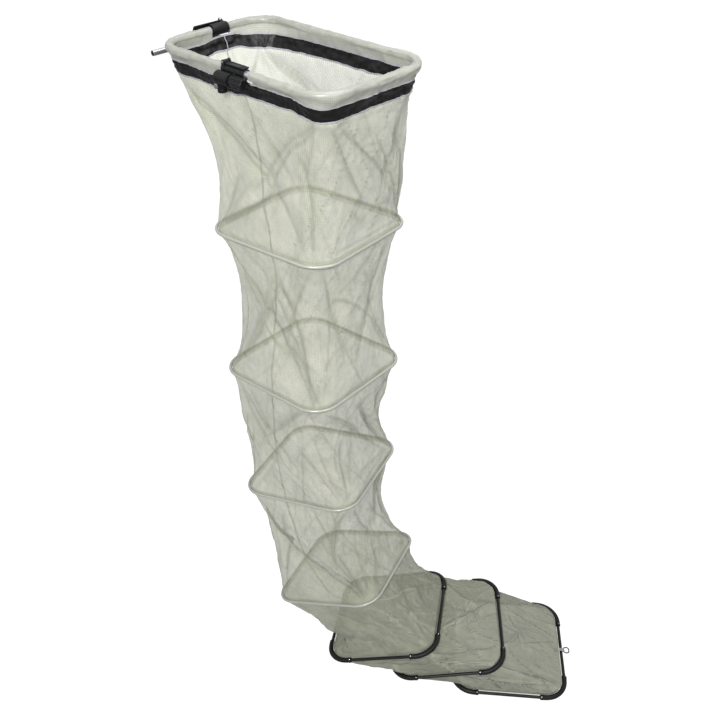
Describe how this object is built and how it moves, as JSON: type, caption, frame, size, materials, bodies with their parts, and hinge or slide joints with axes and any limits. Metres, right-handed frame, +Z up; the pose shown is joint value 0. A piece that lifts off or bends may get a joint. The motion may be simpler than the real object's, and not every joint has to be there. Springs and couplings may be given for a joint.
{
  "type": "fishing keepnet",
  "caption": "Long keepnet of fine pale mesh on an oblong top frame with clamps, held open by square hoops, its black tail hoops lying in a fan.",
  "frame": {"origin": "middle of the arm's outer end face", "axes": "+Z up, -Y out of the arm's end, +X from the arm across the top frame's long way"},
  "size_m": [1.3444, 0.9661, 2.4287],
  "materials": {
    "bare_aluminium": "satin",
    "pale_coated_aluminium": "gloss coat",
    "black_coated_aluminium": "satin",
    "black_moulded_plastic": "fine grain",
    "plated_steel": "bright",
    "knitted_mesh": "fine open knit",
    "woven_black_band": "woven",
    "binding_tape": "woven"
  },
  "bodies": {
    "arm": {"arm_tube": "bare_aluminium", "arm_end_plug": "black_moulded_plastic", "rear_bracket": "black_moulded_plastic", "rear_collar": "black_moulded_plastic", "rear_lever_pin": "plated_steel"},
    "rear_cam_lever": {"rear_lever": "black_moulded_plastic"},
    "top_frame": {"frame_tube": "bare_aluminium", "sleeve_long": "knitted_mesh", "sleeve_short": "knitted_mesh", "band_top_binding": "binding_tape", "woven_band": "woven_black_band", "band_low_binding": "binding_tape", "net_1": "knitted_mesh", "front_saddle": "black_moulded_plastic", "front_axle": "plated_steel", "front_lever_pin": "plated_steel"},
    "front_cam_lever": {"front_lever": "black_moulded_plastic"},
    "tilting_barrel": {"front_barrel": "black_moulded_plastic"},
    "locking_screw": {"front_screw": "plated_steel"},
    "locking_wheel": {"front_wheel": "black_moulded_plastic"},
    "hoop_2": {"ring_2_tube": "pale_coated_aluminium", "net_2": "knitted_mesh"},
    "hoop_3": {"ring_3_tube": "pale_coated_aluminium", "net_3": "knitted_mesh"},
    "hoop_4": {"ring_4_tube": "pale_coated_aluminium", "net_4": "knitted_mesh"},
    "hoop_5": {"ring_5_tube": "pale_coated_aluminium", "net_5": "knitted_mesh"},
    "hoop_6": {"ring_6_corner_1": "black_moulded_plastic", "ring_6_corner_2": "black_moulded_plastic", "ring_6_corner_3": "black_moulded_plastic", "ring_6_corner_4": "black_moulded_plastic", "ring_6_rail_1": "black_coated_aluminium", "ring_6_rail_2": "black_coated_aluminium", "ring_6_rail_3": "black_coated_aluminium", "ring_6_rail_4": "black_coated_aluminium", "net_6": "knitted_mesh"},
    "hoop_7": {"ring_7_corner_1": "black_moulded_plastic", "ring_7_corner_2": "black_moulded_plastic", "ring_7_corner_3": "black_moulded_plastic", "ring_7_corner_4": "black_moulded_plastic", "ring_7_rail_1": "black_coated_aluminium", "ring_7_rail_2": "black_coated_aluminium", "ring_7_rail_3": "black_coated_aluminium", "ring_7_rail_4": "black_coated_aluminium", "net_7": "knitted_mesh"},
    "hoop_8": {"ring_8_corner_1": "black_moulded_plastic", "ring_8_corner_2": "black_moulded_plastic", "ring_8_corner_3": "black_moulded_plastic", "ring_8_corner_4": "black_moulded_plastic", "ring_8_rail_1": "black_coated_aluminium", "ring_8_rail_2": "black_coated_aluminium", "ring_8_rail_3": "black_coated_aluminium", "ring_8_rail_4": "black_coated_aluminium", "base_panel": "knitted_mesh", "peg_tab": "binding_tape"},
    "end_loop": {"peg_loop": "plated_steel"}
  },
  "joints": [
    {"name": "frame_swivel", "type": "hinge", "parent": "arm", "child": "top_frame", "pos_m": [0.03, 0.195, 0.03], "axis": [0, 1, 0], "range_deg": [-60, 20]},
    {"name": "rear_lever_lift", "type": "hinge", "parent": "arm", "child": "rear_cam_lever", "pos_m": [0.01031, 0.235, 0.04003], "axis": [-0.454, 0, -0.891], "range_deg": [0, 95]},
    {"name": "front_lever_lift", "type": "hinge", "parent": "top_frame", "child": "front_cam_lever", "pos_m": [0.327, 0, 0.0481], "axis": [0, -1, 0], "range_deg": [0, 100]},
    {"name": "barrel_tilt", "type": "hinge", "parent": "top_frame", "child": "tilting_barrel", "pos_m": [0.355, -0.0235, 0.0125], "axis": [-1, 0, 0], "range_deg": [0, 80]},
    {"name": "screw_turn", "type": "hinge", "parent": "tilting_barrel", "child": "locking_screw", "pos_m": [0.3185, -0.0235, -0.0165], "axis": [1, 0, 0], "continuous": true},
    {"name": "wheel_turn", "type": "hinge", "parent": "top_frame", "child": "locking_wheel", "pos_m": [0.355, -0.0235, 0.0125], "axis": [1, 0, 0], "continuous": true},
    {"name": "hoop_2_gather", "type": "slide", "parent": "top_frame", "child": "hoop_2", "axis": [-0.0211, -0.0768, 0.9968], "range_m": [0, 0.4], "deforming": ["net_1"]},
    {"name": "hoop_3_gather", "type": "slide", "parent": "hoop_2", "child": "hoop_3", "axis": [0.0171, -0.0019, 0.9999], "range_m": [0, 0.48], "deforming": ["net_2"]},
    {"name": "hoop_4_gather", "type": "slide", "parent": "hoop_3", "child": "hoop_4", "axis": [0.0157, -0.0548, 0.9984], "range_m": [0, 0.44], "deforming": ["net_3"]},
    {"name": "hoop_5_gather", "type": "slide", "parent": "hoop_4", "child": "hoop_5", "axis": [-0.2252, -0.0237, 0.974], "range_m": [0, 0.41], "deforming": ["net_4"]},
    {"name": "hoop_6_gather", "type": "slide", "parent": "hoop_5", "child": "hoop_6", "axis": [-0.5557, -0.2529, 0.792], "range_m": [0, 0.23], "deforming": ["net_5"]},
    {"name": "hoop_7_gather", "type": "slide", "parent": "hoop_6", "child": "hoop_7", "axis": [-0.799, -0.5788, 0.1631], "range_m": [0, 0.085], "deforming": ["net_6"]},
    {"name": "hoop_8_gather", "type": "slide", "parent": "hoop_7", "child": "hoop_8", "axis": [-0.81, -0.5275, 0.2562], "range_m": [0, 0.1], "deforming": ["net_7"]},
    {"name": "end_loop_lift", "type": "hinge", "parent": "hoop_8", "child": "end_loop", "pos_m": [1.2255, 0.77971, -2.3607], "axis": [0.6198, -0.7848, 0], "range_deg": [0, 100]}
  ]
}
